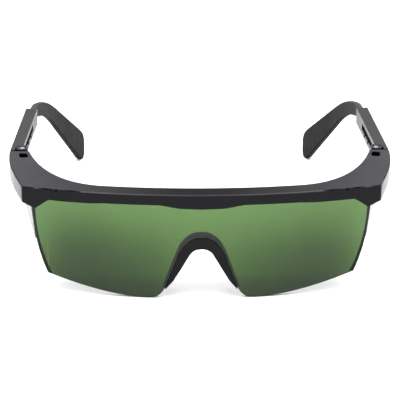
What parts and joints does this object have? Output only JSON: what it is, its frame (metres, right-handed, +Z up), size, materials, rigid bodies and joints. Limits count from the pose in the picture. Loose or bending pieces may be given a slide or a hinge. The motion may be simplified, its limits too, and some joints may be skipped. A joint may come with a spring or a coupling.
{
  "type": "welding goggles",
  "caption": "Wraparound welding goggles: black brow frame, green shaded one-piece lens, nose piece, clear side shields and folding temples with sliding ear pieces.",
  "frame": {"origin": "bottom centre of the bounding box: on the surface that the lens's two lobes and the ear tips stand on, midway between the temples and midway from the front edge to the ear tips", "axes": "+X across the goggles, to the wearer's left, which is the right-hand side seen from the front; +Y from the lens back towards the ear tips; +Z up through the flat top of the frame. Left and right in the names are as seen from the front, so the left pieces are at -X"},
  "size_m": [0.158, 0.1542, 0.05],
  "materials": {
    "frame_black": "satin moulded",
    "temple_black": "satin moulded",
    "ear_black": "satin moulded",
    "nose_black": "soft satin",
    "lens_green": "polished",
    "shield_clear": "polished",
    "screw_steel": "bright"
  },
  "bodies": {
    "front": {"brow_frame": "frame_black", "lens": "lens_green", "nose_piece": "nose_black", "left_side_shield": "shield_clear", "right_side_shield": "shield_clear", "left_hinge_screw": "screw_steel", "right_hinge_screw": "screw_steel"},
    "left_temple": {"left_sleeve": "temple_black"},
    "right_temple": {"right_sleeve": "temple_black"},
    "left_ear": {"left_ear_piece": "ear_black"},
    "right_ear": {"right_ear_piece": "ear_black"}
  },
  "joints": [
    {"name": "left_fold", "type": "hinge", "parent": "front", "child": "left_temple", "pos_m": [-0.074, -0.0288, 0.0465], "axis": [0, 0, -1], "range_deg": [0, 90]},
    {"name": "right_fold", "type": "hinge", "parent": "front", "child": "right_temple", "pos_m": [0.074, -0.0288, 0.0465], "axis": [0, 0, 1], "range_deg": [0, 80]},
    {"name": "left_extend", "type": "slide", "parent": "left_temple", "child": "left_ear", "axis": [0.0872, 0.9962, 0], "range_m": [0, 0.014]},
    {"name": "right_extend", "type": "slide", "parent": "right_temple", "child": "right_ear", "axis": [-0.0872, 0.9962, 0], "range_m": [0, 0.014]}
  ]
}
